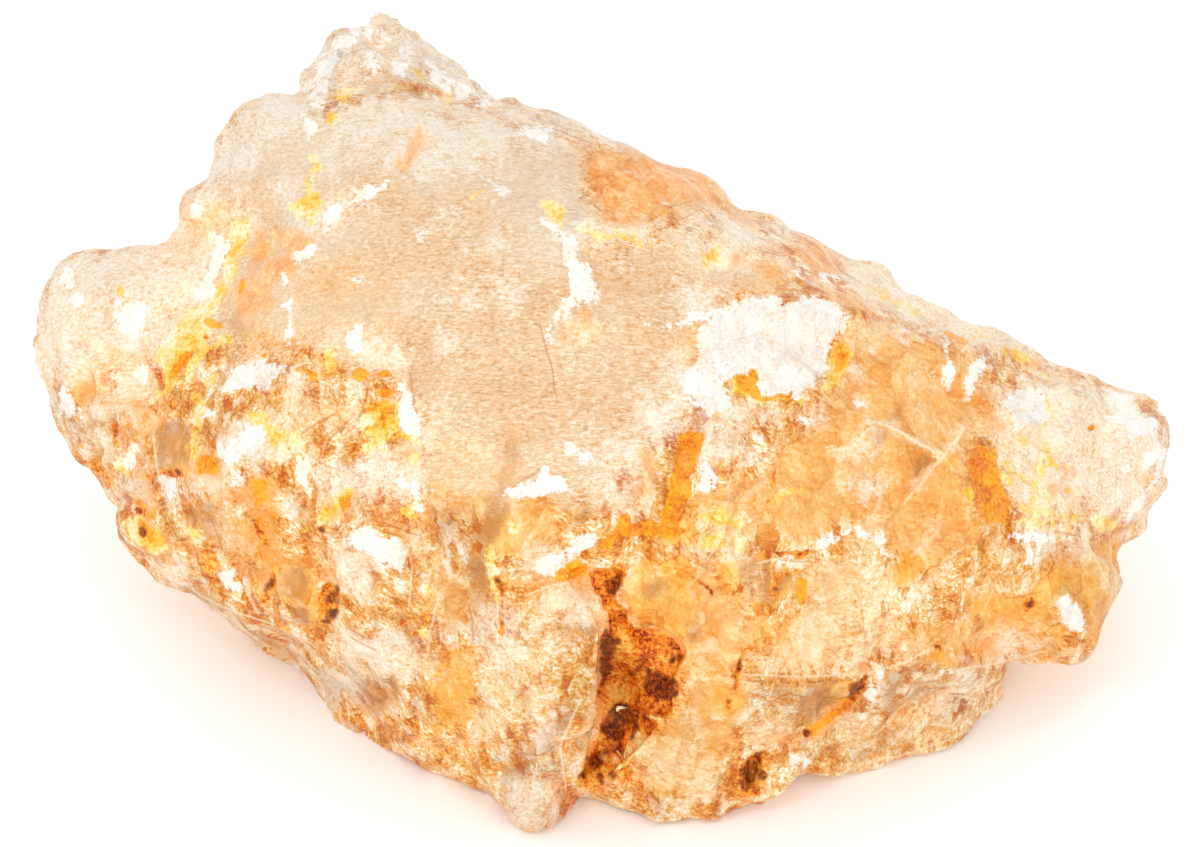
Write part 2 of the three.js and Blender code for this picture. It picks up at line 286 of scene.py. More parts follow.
# The smooth cleavage face, where the relief is fainter.
CLEAVAGE_FACE = [
    (160, 242), (182, 215), (228, 134), (262, 88), (330, 100), (455, 98), (590, 148), (582, 185),
    (600, 225), (700, 235), (760, 262), (790, 285), (700, 300), (690, 345), (684, 410), (645, 455),
    (600, 490), (560, 503), (500, 500), (425, 498), (405, 450), (400, 385), (330, 350),
    (240, 350), (200, 345), (150, 380), (100, 370), (28, 345), (56, 266), (110, 250),
]

# The slope above it, up to the rim, is smoother than the breaks too.
SLOPE = [
    (440, 80), (600, 130), (700, 165), (840, 245), (1040, 345), (1030, 372), (870, 330), (790, 290),
    (700, 240), (600, 235), (590, 150), (455, 100),
]

# Splits run down between the columns: the width in rules, the depth in millimetres and the line.
SPLITS = """
    5 0.25 425,505 437,560 430,635; 6 0.35 352,490 338,540 334,580; 6 0.25 215,480 212,540 226,600;
    6 0.3 180,500 190,560 206,600; 5 0.2 450,640 456,700 452,748; 5 0.2 690,548 697,610 700,660 692,735
    676,790; 5 0.25 748,552 755,600 745,650; 7 0.7 868,674 852,700 822,728 786,742;
    6 0.4 906,664 886,700 860,745; 5 0.3 944,690 905,722 868,762; 6 0.4 112,415 118,448 150,470;
    6 0.4 160,400 150,440 155,500 165,560; 5 0.25 240,470 232,520 240,580;
    10 0.3 512,432 514,460 503,488; 6 0.4 424,132 412,150 402,168; 5 0.2 1104,400 1102,440 1088,482;
    4 0.3 775,550 790,553 815,550
"""

# Ledges stand on the left of their line, seen along it: the height in millimetres, how far the
# ledge fades in rules, and the line.
LEDGES = """
    0.55 70 1045,650 1008,664 960,646 905,648 868,674 745,674; 0.12 40 455,99 430,90 390,80 345,88
    318,102 292,96; 0.12 40 760,228 700,205 650,222 600,230 560,218;
    0.15 40 300,262 325,235 345,205 392,180; 0.2 40 600,310 590,262 545,218;
    0.25 35 845,300 850,340 830,372 790,398; 0.35 60 905,500 945,455 900,430 870,418; 0.35 30 1035,352
    960,345 880,322 838,300; 0.35 45 1120,575 1085,535 1040,590 1010,585;
    0.25 40 870,585 905,590 945,560; 0.3 40 425,560 415,520 340,525 334,560;
    0.08 50 690,285 620,300 560,330; 0.2 30 690,700 640,575 595,560; 0.25 35 600,600 560,592 515,615;
    0.15 40 400,445 380,372 300,365; 0.3 30 150,540 120,500 160,475
"""

# Shells are shallow round scoops: the middle, the radius in rules and the depth in millimetres.
SHELLS = [
    (840, 612, 72, 0.5), (905, 505, 62, 0.5), (955, 402, 52, 0.5), (1010, 610, 50, 0.4),
    (1078, 565, 42, 0.4), (868, 392, 45, 0.4), (630, 185, 45, 0.4), (700, 182, 42, 0.3),
    (722, 620, 40, 0.35), (568, 640, 38, 0.3), (460, 600, 42, 0.35), (455, 720, 44, 0.4),
    (378, 600, 38, 0.35), (930, 715, 42, 0.5), (828, 705, 34, 0.4), (210, 520, 30, 0.3),
    (1040, 540, 30, 0.3), (780, 450, 40, 0.3), (660, 640, 30, 0.3), (90, 400, 30, 0.3),
    (350, 700, 30, 0.3), (530, 720, 34, 0.3), (720, 755, 34, 0.35), (1100, 450, 36, 0.25),
]

# Bulges round the rim: the middle, the radius in rules and the height in millimetres.
BULGES = [
    (1172, 440, 62, 0.75), (1005, 332, 55, 0.6), (196, 204, 34, 0.8), (72, 256, 36, 0.5),
    (120, 545, 34, 0.6), (340, 40, 30, 0.35), (720, 180, 34, 0.45), (885, 268, 34, 0.4),
]

places = places_of(stone.data)
outward = outward_of(stone.data)
sheet = on_sheet(places)
wander = np.stack([unevenness(places, 1.6, 5, 2), unevenness(places, 1.6, 9, 2)], axis=1)
sheet += wander * 5
face_on = ease(outward @ OUT, -0.15, 0.25)
links = neighbours(stone.data)
smooth = ease(inside(sheet, CLEAVAGE_FACE), -6, 10) * face_on
smooth = np.maximum(smooth, ease(inside(sheet, SLOPE), -20, 10) * 0.8)

LARGE_PLATES = 919  # in the whole stone
SMALL_PLATES = 16622
relief = plates(places, LARGE_PLATES, 0.07, 0.12, 3) * (1 - 0.85 * smooth)
relief += plates(places, SMALL_PLATES, 0.02, 0.08, 4) * (1 - 0.75 * smooth)
relief += unevenness(places, 3.0, 11, 2) * 0.14
relief += unevenness(places, 0.8, 12, 2) * 0.03
for width, depth, line in marks(SPLITS):
    distance, _ = from_line(sheet, line)
    relief -= depth * (1 - ease(distance, width * 0.15, width)) * face_on
for height, fade, line in marks(LEDGES):
    distance, side = from_line(sheet, line)
    step = np.where(side > 0, 1, -0.5) * ease(distance, 0, 4) * (1 - ease(distance, fade * 0.2, fade))
    relief += height * step * face_on
for x, y, radius, depth in SHELLS:
    distance = np.hypot(sheet[:, 0] - x, sheet[:, 1] - y) / radius
    relief -= depth * np.clip(1 - distance**2, 0, 1) * face_on * (1 - smooth)
for x, y, radius, height in BULGES:
    distance = np.hypot(sheet[:, 0] - x, sheet[:, 1] - y) / radius
    relief += height * (1 - ease(distance, 0, 1))

# The break it lies on is hollow in places, but never lower than the surface under it.
lying = ((places[:, 2] < REMESH) & (outward[:, 2] < -0.8)).astype(float)
lying_well_in = ease(spread(links, lying, 12), 0.7, 0.98) * lying
hollows = np.clip(unevenness(places, 5, 21, 3) + 0.15, 0, 1) * 0.9 + np.abs(relief) * 0.3
relief = relief * (1 - lying) - hollows * lying_well_in
places = spread(links, places + outward * relief[:, None], 2)
places[:, 2] = np.maximum(places[:, 2], 0)
move_to(stone.data, places)

KEPT_BEHIND = 0.69  # share of the faces that stays when those of the hidden sides are thinned
hidden = stone.vertex_groups.new(name="hidden")
behind = np.flatnonzero(outward @ OUT < -0.05).tolist()
hidden.add(behind, 1.0, "REPLACE")
thinner = stone.modifiers.new("thinner", "DECIMATE")
thinner.ratio = KEPT_BEHIND
thinner.vertex_group = "hidden"
graph = bpy.context.evaluated_depsgraph_get()
thinned = bpy.data.meshes.new_from_object(stone.evaluated_get(graph), depsgraph=graph)
stone.modifiers.clear()
stone.vertex_groups.clear()
stone.data = thinned
places = places_of(stone.data)
places[:, 2] = np.maximum(places[:, 2], 0)
move_to(stone.data, places)


# ---------------------------------------------------------------------------------------------
# Zones: weathered white crust, yellow and orange iron stain, rust, brown grains in the pocket,
# and crystal that is smoky, milky, clear, peach, amber or pale. Each is kept on the mesh as the
# depth in millimetres inside the zone.
# ---------------------------------------------------------------------------------------------

# Each zone has, for the hidden sides, how rare it is and how large in millimetres, and then its
# marks on the broad side. A mark with no size is the outline of a patch. One with a size is a
# streak of that width, and one with a size and a single corner is a round spot of that radius.
ZONES = {
    "white_crust": (0.60, 8.0, """
    700,330 705,318 720,312 738,300 760,298 790,300 815,296 832,302 848,318 840,332 835,345 828,360
    822,375 800,397 765,392 755,368 735,374 722,390 728,400 712,418 698,414 685,390 692,370 698,350;
    210,396 222,385 232,373 250,368 262,364 280,364 287,369 272,385 262,391 240,388 228,392;
    346,326 362,326 360,345 350,348; 345,540 355,530 370,528 378,538 390,539 401,544 408,574 398,569
    375,558 360,549; 355,196 364,187 388,180 392,183 380,193 370,198 345,208 332,222 322,240 325,215
    338,203; 292,258 302,250 318,244 312,256 302,266; 56,392 66,387 70,398 77,418 66,416 58,408; 543,217
    556,228 572,240 582,258 592,276 600,296 592,308 580,300 570,312 558,324 545,324 555,310 572,290
    566,268 560,252; 504,497 520,486 535,476 548,469 560,480 575,488 555,493 535,496; 536,572 545,558
    562,550 580,538 599,531 597,545 583,551 566,558 552,574; 697,480 699,468 710,468 716,482 708,490
    697,488; 153,475 178,480 165,499; 303,116 310,120 320,128 312,134 304,128; 1006,404 1016,390
    1036,386 1046,402 1048,416 1034,426 1014,430; 216,446 228,448 240,438 246,424 262,430 266,444
    250,456 236,462 224,456; 226,484 235,475 243,470 246,481 238,490; 402,386 410,383 415,398 419,422
    417,436 405,430 401,410; 115,301 145,302 148,320 138,334 120,330 112,315; 1058,605 1068,601 1082,612
    1088,622 1084,633 1072,632 1062,618; 220,576 232,568 240,580 234,590 222,588; 516,122 530,127
    548,129 553,136 540,139 524,133; 862,712 868,678 880,673 874,700 862,726; 1110,392 1140,402 1158,424
    1150,440 1126,424 1112,410;
    12 214,236 222,246 214,262 208,282 202,296; 8 566,442 573,454 587,458; 6 484,180 500,187 508,192;
    7 945,343 948,362 949,386; 7 986,358 973,378 967,398; 7 398,478 412,486 421,500 424,516;
    8 822,543 838,535 856,531 878,540; 7 552,322 549,342; 6 128,462 133,445; 5 206,415 219,416;
    5 1012,537 1040,541 1070,536; 5 1034,552 1022,575; 9 420,233 420,248; 6 290,300 291,342;
    6 352,278 370,282; 7 720,312 700,318 672,326 640,324; 4 798,268 818,277 836,276;
    8 1130,520 1142,500 1160,478 1166,450;
    7 884,552; 6 806,420; 6 288,307; 3 282,277; 12 692,384; 6 368,30; 8 381,36; 9 340,42; 9 372,62;
    10 320,66; 9 66,280; 7 74,298; 8 802,760; 6 757,436; 5 950,672; 7 318,100; 4 410,22; 9 142,374;
    8 462,92; 7 482,102; 8 196,212; 8 322,84; 8 436,74; 6 352,26; 6 404,46; 5 860,404; 7 330,58;
    8 1118,412; 9 1140,430; 8 1150,460; 6 1128,470; 7 398,66; 6 430,62; 5 448,84; 6 308,84
    """),
    "yellow_stain": (0.62, 6.0, """
    232,222 246,216 250,226 246,242 238,262 229,285 222,300 206,316 190,335 172,352 158,368 150,364
    164,345 178,325 195,305 212,294 222,275 226,250; 290,206 298,198 306,193 318,190 322,200 314,210
    312,222 303,220; 540,204 555,202 564,214 561,226 550,222; 365,402 380,398 398,400 402,430 396,441
    380,446 366,436; 696,516 722,508 742,516 746,524 716,526; 704,534 722,530 728,542 714,552 700,546;
    732,538 748,534 746,550 734,552; 744,320 758,308 773,304 779,318 770,331 754,336; 726,374 740,366
    756,366 764,380 770,392 755,397 738,398; 836,334 849,344 851,356 845,372 834,388 823,390 830,360;
    124,521 140,517 156,530 163,549 150,553 132,545; 158,374 174,350 196,326 214,318 206,345 186,366
    168,386; 248,406 262,411 271,421 262,427 250,420; 325,96 334,90 352,90 358,86 350,98 330,103;
    1088,518 1101,516 1115,520 1115,529 1103,531; 958,487 972,486 979,500 967,506;
    700,250 718,246 722,262 704,266; 868,286 905,302 925,314 900,308;
    1005,344 1030,354 1026,362 1004,354; 262,428 298,430 302,446 270,448;
    8 194,398 200,412 194,450; 6 602,233 614,238; 8 396,83 414,85 430,88 448,96;
    7 430,590 428,612 423,630; 8 352,494 338,502 320,518 306,530; 4 490,548 493,575 497,598;
    5 748,396 776,399 802,399; 5 724,400 714,416; 7 400,434 413,438; 5 364,450 377,444;
    6 306,176 308,190; 5 313,156 316,168; 6 770,500 786,492 802,488; 5 1022,520 1045,524 1070,521;
    5 1046,398 1052,416 1044,428; 9 402,508 420,520; 8 118,466 127,474; 7 330,356 331,370;
    8 205,386 214,376; 9 1000,476 1014,482; 8 228,340 205,350 180,376 160,392;
    7 586,230 604,238 630,238; 5 472,198 486,190; 8 1008,468 1030,484 1050,500;
    6 1012,506 1046,512 1080,519; 6 1046,446 1052,462;
    3 119,291; 4 515,527; 5 329,116; 6 418,70; 3 1050,378; 7 192,535; 3 415,460; 5 808,306; 3 640,244;
    5 1040,470; 5 1068,490; 4 1024,440; 4 1060,470; 4 1034,500
    """),
    "orange_stain": (0.50, 7.0, """
    586,165 600,150 650,155 680,165 702,171 714,186 732,200 749,215 757,228 745,222 725,205 700,204
    684,200 668,202 658,214 640,224 618,228 604,221 598,204 588,194; 790,241 820,238 838,254 846,266
    832,275 815,274 800,262; 824,288 840,290 858,301 884,320 870,323 850,312 834,307; 186,452 212,451
    224,463 218,475 200,479 188,470; 252,482 268,474 275,490 269,512 268,556 256,552 250,525;
    225,491 248,485 252,501 240,506 228,504; 252,246 264,240 270,256 256,280 244,286 246,266; 272,222
    284,230 300,232 313,240 308,250 292,260 280,245; 750,264 766,262 790,270 785,281 765,279;
    262,565 275,568 278,600 262,606 255,590; 236,290 262,284 276,300 250,316 238,312;
    8 416,133 413,148 402,168; 20 304,250 266,278 242,308; 7 262,234 252,262 240,294; 5 530,588 552,578;
    6 770,682 800,680 812,678; 9 848,704 832,716 812,730; 4 1022,363 1036,362;
    4 772,739 800,737 812,732; 8 985,412 992,425 1002,428; 10 645,455 652,472 640,492;
    8 800,515 770,512 745,520; 9 128,470 148,480 150,510; 8 135,405 146,425 143,445;
    6 1035,462 1060,460 1072,476;
    6 378,510; 5 410,455; 7 590,316; 5 460,728; 6 738,257; 5 392,62; 6 1052,488; 5 1030,462; 5 1074,506
    """),
    "bright_rust": (0.76, 4.0, """
    680,434 690,429 703,433 702,442 696,456 692,475 690,496 684,517 676,527 664,524 660,512 666,500
    671,478 676,455; 594,553 600,540 612,534 620,516 628,515 632,524 648,520 662,526 686,529 680,536
    660,538 640,535 618,541 603,549; 551,577 565,566 575,556 584,564 590,573 580,577 565,581; 972,444
    990,446 996,460 999,478 1006,488 1012,505 1004,520 990,525 979,515 975,500 970,480 966,462; 632,632
    645,628 662,634 664,650 650,656 634,650; 796,578 805,577 806,600 800,606 795,596; 172,368 176,358
    186,350 198,350 190,359 180,370 166,386; 730,376 742,369 756,368 758,380 766,391 754,395 740,390;
    836,352 848,352 846,368 834,372; 376,390 390,386 398,394 390,401 378,399;
    376,374 386,369 391,374 381,379; 352,374 361,369 372,373 358,381; 340,500 351,494 353,505 342,512;
    250,484 268,480 268,500 256,508; 197,457 212,454 220,464 214,473 200,474; 862,680 867,690 850,708
    834,719 812,733 806,737 812,726 832,711 847,696;
    6 300,368 316,377; 4 248,264 240,292; 4 432,88 442,94; 3 752,397 798,399; 6 208,320 220,326;
    5 262,518 266,552; 4 428,598 425,616; 9 602,690 612,665 622,645; 6 950,333 966,342;
    7 136,502 150,518; 7 140,524 150,540; 4 918,656 944,656; 3 648,222 668,208;
    4 812,733; 4 265,356; 5 1030,602
    """),
    "iron_grains": (0.74, 4.0, """
    588,574 608,567 622,563 626,572 622,582 615,590 616,600 626,612 636,626 618,634 608,622 602,606
    594,590; 318,594 330,584 339,592 338,608 331,626 321,625 316,605; 610,628 634,626 648,628 664,634
    678,642 683,652 680,662 676,676 681,690 673,700 675,716 650,716 656,722 663,730 650,736 632,731
    620,743 612,757 606,776 600,792 588,792 577,785 582,770 590,754 597,735 601,716 598,700 598,688
    603,666 608,645; 740,770 748,756 768,750 765,772 758,797 737,798;
    851,682 867,677 861,692 855,703 848,699; 157,473 166,468 184,469 184,477 174,479;
    198,552 212,549 218,566 212,584 202,578; 598,600 612,596 628,612 634,628 612,634;
    6 742,652 738,672 736,688; 7 730,692 726,712; 4 772,551 790,555 814,551; 4 772,574 798,571;
    6 776,576 772,596; 6 273,568 270,585 262,602; 6 256,520 263,542; 6 499,578 503,592;
    5 500,616 503,632; 4 113,424 113,444; 5 318,530 326,530; 4 276,620 288,632;
    4 656,560 676,568 700,580 712,592; 5 145,474 151,482; 4 774,470 772,482; 6 612,748 622,760 632,778;
    4 618,772 640,786; 5 1036,600 1029,608;
    9 616,744; 10 612,772; 8 622,618; 5 138,512; 4 141,532; 4 172,405; 4 733,676; 4 938,649; 3 338,595;
    3 206,338; 3 133,440; 4 415,632; 4 405,622; 3 236,578; 3 1094,428; 5 760,780; 4 808,734; 4 452,752;
    7 1032,602
    """),
    # The black spots lie in the pocket's hollows and small pits: painted shade.
    "black_iron": (0.95, 3.0, """
    602,626 612,624 617,640 612,668 602,690 598,668; 610,631 617,631 615,648 609,662 605,654; 648,668
    662,672 676,680 678,695 668,702 655,698 642,690; 600,724 612,708 628,703 641,711 636,724 622,728
    606,738 598,733; 590,753 602,751 604,764 594,772 588,764; 610,574 622,574 618,590 612,595 606,585;
    741,770 748,760 752,776 746,784; 756,753 764,752 763,764 757,764;
    853,683 865,679 860,692 854,700 850,696; 174,470 182,470 183,476 176,477;
    5 640,658 650,654; 4 632,672 642,666; 3 650,726 658,730; 4 668,660 678,656; 3 270,578 266,590;
    3 337,588 338,602; 3 500,580 502,590; 3 742,654 739,668; 3 730,694 728,702;
    5 618,748; 4 612,776; 5 330,598; 5 333,614; 3 326,622; 3 730,700; 4 775,590; 3 786,572; 5 1033,603;
    3 938,649; 3 141,532; 5 761,776; 2 322,530; 3 808,734; 3 776,552; 3 502,622; 5 857,690; 6 745,786;
    4 618,642; 4 755,788; 3 634,728; 2 631,736; 3 583,776; 3 733,676; 3 137,512; 8 618,735; 6 606,752;
    5 600,780
    """),
    "smoky_crystal": (0.50, 6.0, """
    480,534 482,512 494,500 506,503 503,530 496,545 485,548; 468,562 486,550 492,596 476,604;
    570,630 598,619 597,630 582,636; 804,700 812,692 832,682 833,700 822,716 806,723;
    884,678 904,668 900,690 890,716 883,704; 906,708 912,694 920,685 929,690 918,704; 768,582 779,569
    796,571 790,585 777,598 769,592; 185,506 202,504 200,530 188,532; 200,500 214,506 214,536 206,542;
    345,668 398,672 400,700 372,716 350,700; 1076,399 1094,400 1104,414 1098,430 1085,438 1078,428;
    945,700 976,696 972,714 950,716; 910,453 939,453 925,476 911,492; 505,432 516,430 517,455 508,482
    500,500 494,495 502,470; 742,556 770,560 772,600 748,600; 484,496 506,490 508,512 486,520;
    152,425 188,425 188,465 156,468;
    18 540,742 562,722; 12 505,790 520,770 528,756; 8 905,730 880,745 862,760; 12 404,620 414,644;
    12 235,314 240,330; 6 575,520 600,505; 8 640,460 652,480; 6 185,590 240,625 290,655;
    8 445,530 452,515; 8 900,410 880,440; 5 803,615 815,638 835,650 852,656; 8 690,610 695,640;
    16 812,700; 13 296,585; 8 302,616; 12 262,540; 9 650,590; 8 590,720; 6 760,720; 5 660,585;
    14 95,320; 8 520,815
    """),
    # Milky patches on the lower lobe also paint it lighter, against the shade under it.
    "milky_veils": (0.10, 7.0, """
    676,764 716,756 722,800 684,804; 514,676 560,684 556,716 520,720; 836,520 880,516 884,552 842,556;
    844,316 880,322 880,352 850,350; 320,400 358,398 358,436 324,440; 408,520 428,516 428,560 412,556;
    690,506 742,512 752,545 736,560 700,552; 1104,400 1135,405 1160,424 1158,455 1146,482 1126,508
    1104,512 1092,500 1096,470 1104,440; 196,204 228,196 236,216 216,248 196,260;
    800,560 880,556 900,600 840,610 800,596; 500,645 545,632 562,625 550,650 540,690 505,700 480,690;
    480,738 484,714 508,708 514,735 495,746; 512,616 548,605 565,612 540,625 516,628; 548,590 566,584
    590,590 604,610 598,618 570,622 548,606; 340,640 400,640 430,655 432,672 380,680 340,660;
    430,436 500,442 498,462 432,450; 215,440 248,418 285,425 306,436 300,456 262,470 230,462; 400,440
    424,440 420,490 385,500 362,480 372,455; 704,226 722,210 745,220 766,240 770,256 745,264 704,268;
    1000,400 1054,392 1070,440 1090,500 1060,526 1020,528 1004,500; 800,600 870,600 905,615 905,645
    860,668 760,668 780,640; 840,620 900,610 905,640 850,650; 328,552 345,545 372,552 374,572 366,592
    345,582 330,570; 352,352 376,340 396,348 408,358 400,371 380,366 360,368;
    70,428 104,430 113,441 110,449 92,444; 110,370 140,372 145,395 128,410 110,400; 580,226 595,214
    606,226 640,228 625,240 600,243; 900,592 922,580 943,568 936,584 910,598;
    672,183 692,186 700,193 688,199; 840,250 885,262 940,298 1000,326 1037,350 1030,364 985,347 930,325
    880,305 850,286; 155,566 170,560 186,576 178,592 160,586; 325,185 360,196 340,215 322,245 306,236
    304,222 318,205; 560,325 600,318 612,334 575,345 556,342; 915,705 955,700 960,745 920,750;
    282,400 318,398 318,436 286,440; 835,715 875,712 880,750 840,752; 640,742 698,740 700,788 646,790;
    742,715 785,712 790,748 748,752; 885,640 925,638 926,656 890,664;
    6 866,422 885,425 902,433 922,446 942,453; 4 906,500 926,478 944,456 965,428;
    6 832,452 852,448 868,428; 7 864,394 866,414; 8 1082,537 1092,552 1108,584; 8 922,552 936,528;
    7 960,720 985,695; 8 890,742 930,728 962,706 984,682; 7 900,690 930,676 975,676; 6 920,716 950,690;
    6 880,700 896,678; 6 900,722 925,705; 6 862,765 905,757 945,744 978,728; 6 436,560 440,600 436,634;
    9 600,505 640,465; 7 700,650 690,700 700,740; 6 750,640 752,600 760,570; 7 800,560 830,580 850,598;
    5 205,612 250,624 290,634; 6 332,640 342,612; 14 424,408 436,440; 5 520,820 545,822;
    12 520,788 545,790;
    4 655,573; 12 350,480
    """),
    "clear_crystal": (0.50, 8.0, """
    750,676 870,672 1045,650 1000,745 860,775 770,750; 40,390 110,420 160,470 140,500 60,440;
    498,745 570,735 575,800 540,836 500,815; 550,620 605,620 606,700 560,740 545,680;
    425,510 490,510 490,640 430,640; 1040,540 1130,530 1118,640 1060,600;
    640,740 700,700 715,790 640,815;
    24 180,590 250,635 330,695;
    24 820,590
    """),
    "peach_crystal": (0.20, 9.0, """
    848,330 900,330 962,352 992,400 972,440 968,500 990,540 930,560 860,540 800,500 780,455 826,410;
    425,448 500,455 560,500 552,560 500,560 470,510 430,505; 590,160 700,170 752,226 720,206 660,214
    610,226; 230,320 290,276 345,250 400,300 400,370 330,350 250,350; 1030,590 1075,548 1118,545
    1112,610 1098,642 1060,604; 640,590 700,560 740,600 735,740 700,790 650,740 690,690;
    60,350 112,350 108,402 70,400; 700,500 820,450 860,520 800,545 745,540;
    30 990,600 1040,640; 22 900,640 1000,640; 10 640,333 662,340 690,342; 8 700,282 740,284 775,282;
    30 800,640; 26 830,590; 24 450,600
    """),
    "amber_crystal": (0.50, 6.0, """
    276,556 316,556 318,600 284,604; 158,438 200,440 200,478 164,478; 482,516 512,516 512,556 486,558;
    1030,592 1060,562 1076,548 1102,580 1114,600 1098,640 1090,612 1066,598; 1092,543 1119,541 1122,550
    1106,580 1098,562; 985,596 1040,590 1058,606 1052,632 1020,642 985,634; 630,562 690,556 700,600
    692,640 640,622 622,596; 642,742 700,736 704,790 652,800; 804,690 834,680 852,686 830,716 806,724;
    250,480 276,476 278,600 254,596; 1022,604 1036,592 1056,600 1050,622 1030,630;
    1048,622 1062,618 1070,634 1056,642; 912,661 925,651 942,650 962,662 946,670 935,660; 878,580
    890,565 915,550 930,558 946,564 920,575 902,588; 296,600 318,596 322,632 302,628;
    420,648 470,650 476,720 436,730; 320,500 352,492 352,512 322,524; 660,520 700,512 698,540 664,545;
    686,498 722,494 726,514 690,520; 226,520 256,516 260,560 232,562; 716,562 738,560 740,590 720,592;
    12 848,704 832,716 812,730; 14 760,560 752,640; 8 970,600 980,606 970,625;
    6 788,636 791,646 786,656;
    18 940,455; 16 1030,628; 12 1066,612; 14 780,585; 12 214,497; 6 500,622; 14 150,540; 16 730,700;
    7 537,553; 7 762,626; 7 755,225; 9 1048,600
    """),
    "pale_crystal": (0.15, 9.0, """
    500,790 520,775 556,780 564,812 545,832 512,828; 700,206 722,206 750,220 768,244 768,262 735,266
    702,264; 272,100 285,66 318,28 350,6 385,-8 420,14 452,30 482,62 516,102 450,100 420,84 390,82
    350,92 320,104; 24,350 40,290 66,256 95,250 120,262 110,300 112,340 90,370 60,392 40,380; 1000,395
    1040,370 1100,376 1172,420 1174,470 1150,530 1120,522 1060,512 1010,500 1000,450; 228,134 246,98
    262,85 300,95 330,105 300,135 250,160 215,200 190,235 160,245 190,190; 500,100 560,110 620,135
    665,158 600,145 540,140 500,125; 760,222 775,212 796,226 790,242 772,236; 330,105 455,100 520,130
    500,170 420,175 350,160; 110,262 215,240 215,290 170,340 120,360 105,300; 836,246 885,258 942,294
    1002,322 1040,348 1034,364 985,350 930,327 878,308 846,288; 548,592 566,584 590,590 604,612 572,620
    552,608; 352,352 376,340 396,348 408,358 400,371 380,366 360,368;
    66,428 104,428 114,441 110,452 90,448; 108,370 140,370 147,395 128,412 108,402;
    580,228 600,220 645,226 640,240 604,246; 362,468 376,457 393,462 396,482 380,490 366,486; 215,440
    248,420 274,425 280,440 262,466 230,460; 598,440 640,436 644,470 606,482;
    1036,524 1082,520 1080,552 1044,556; 600,480 640,478 634,508 604,512;
    682,398 722,396 722,428 704,430 684,426; 636,400 680,398 680,436 640,438;
    680,284 722,290 718,318 684,318; 188,476 202,472 222,474 218,492 196,490;
    340,640 400,636 432,660 380,676 344,660; 332,552 345,545 372,552 374,572 366,592 345,582;
    352,470 392,470 396,500 356,505; 700,425 745,425 748,455 704,460;
    22 300,236 330,215 352,200;
    8 812,418; 8 850,372; 8 862,445; 8 868,490; 6 815,335; 5 450,215; 4 468,250; 5 460,300; 5 455,340;
    4 495,240; 5 618,255; 4 780,262; 4 820,275; 4 795,305; 5 845,300; 3 905,330; 5 185,345; 5 220,385;
    4 260,380; 4 300,385; 4 335,340; 4 262,462; 4 300,505; 6 378,500; 5 378,420; 4 222,540; 10 330,172;
    8 285,190; 8 250,225; 6 215,225; 4 1020,378; 6 340,98; 6 420,98; 6 455,100; 5 575,140; 22 690,380;
    24 395,480; 12 420,420; 14 545,560; 24 350,486; 12 940,702; 10 965,690; 14 170,576; 16 132,490;
    18 498,622; 14 500,650; 20 1130,400; 14 465,292; 14 506,290; 16 540,735; 15 338,690; 11 1010,648;
    9 1032,640; 13 96,412; 11 735,412; 3 452,536; 3 292,642; 3 764,420; 10 325,150; 14 136,378
    """),
}

# Lines on the breaks: pale ones along the edges of crystals, painted there as highlights, and brown ones
# in cracks; the dark one along the plate's lower edge is painted shadow.
PALE_LINES = """
    252,262 262,268 275,264 285,265 293,275; 530,594 552,584 570,582 588,588 598,598 607,612 613,626
    608,646 603,666 598,690; 490,550 493,575 497,600 498,636; 622,579 616,590 618,600 626,612 635,625;
    745,674 800,676 866,673 905,662 925,651; 330,656 337,630 341,610 337,590 328,570 330,545 345,525
    368,518; 170,545 180,570 192,592 215,605 250,618 285,628 312,652; 158,588 195,600 230,621 262,646;
    868,420 885,425 900,432 920,445 942,453; 904,502 925,478 942,456 962,432; 830,451 850,448 868,428;
    1082,536 1092,550 1104,574 1110,584; 985,690 990,710 975,730 940,745 900,757 862,765;
    905,732 925,706 945,695 976,700; 408,545 413,568 410,602; 437,570 438,600 430,632;
    1100,400 1103,430 1098,455 1088,482; 70,430 95,441 112,448; 505,500 530,482 546,471;
    955,670 1000,664 1045,652; 760,562 800,553 828,541; 880,674 874,702 862,728;
    160,398 152,440 158,476; 1050,546 1030,575 1020,590; 580,700 560,745 566,790
"""

DARK_LINES = """
    385,523 420,535; 380,529 405,538; 286,490 300,494; 305,431 335,414; 565,248 573,263;
    541,326 545,345 552,370 556,394; 410,372 415,400 420,426; 519,483 539,470; 530,124 560,130 592,143;
    646,223 668,208 692,200; 655,231 692,215; 774,552 814,551; 780,559 806,561; 742,650 738,670 736,690;
    905,440 911,463; 850,702 835,715 815,728 806,737; 271,576 265,594; 275,620 290,633; 112,422 113,446;
    499,576 503,594; 500,612 503,634; 355,208 362,202; 402,171 413,154; 650,558 690,573 713,594;
    775,468 772,486; 776,428 772,446 761,460; 1058,532 1075,535; 744,510 741,541;
    745,680 800,682 850,680; 262,500 257,530 262,560 268,604; 344,627 371,640; 350,637 374,650;
    338,586 340,604; 560,742 540,756 520,752; 1104,398 1098,384; 350,420 330,440; 470,604 474,640;
    690,560 712,570; 1012,598 1040,592; 212,520 220,546
"""


FAR = 38.0  # rules: as far from a mark as its depth is worked out


def beside(sheet, corners):
    """The points of the sheet that are near a mark's corners."""
    low, high = corners.min(axis=0) - FAR, corners.max(axis=0) + FAR
    return np.flatnonzero(np.all((sheet > low) & (sheet < high), axis=1))


def zone_depth(sheet, zone):
    """Depth inside the nearest of a zone's marks, in rules, below 0 outside them all."""
    depth = np.full(len(sheet), -FAR)
    for *size, corners in marks(zone):
        if len(corners) == 1:
            depth = np.maximum(depth, size[0] - np.hypot(*(sheet - corners[0]).T))
            continue
        near = beside(sheet, corners)
        if size:
            within = size[0] / 2 - from_line(sheet[near], corners)[0]
        else:
            within = inside(sheet[near], corners)
        depth[near] = np.maximum(depth[near], within)
    return depth


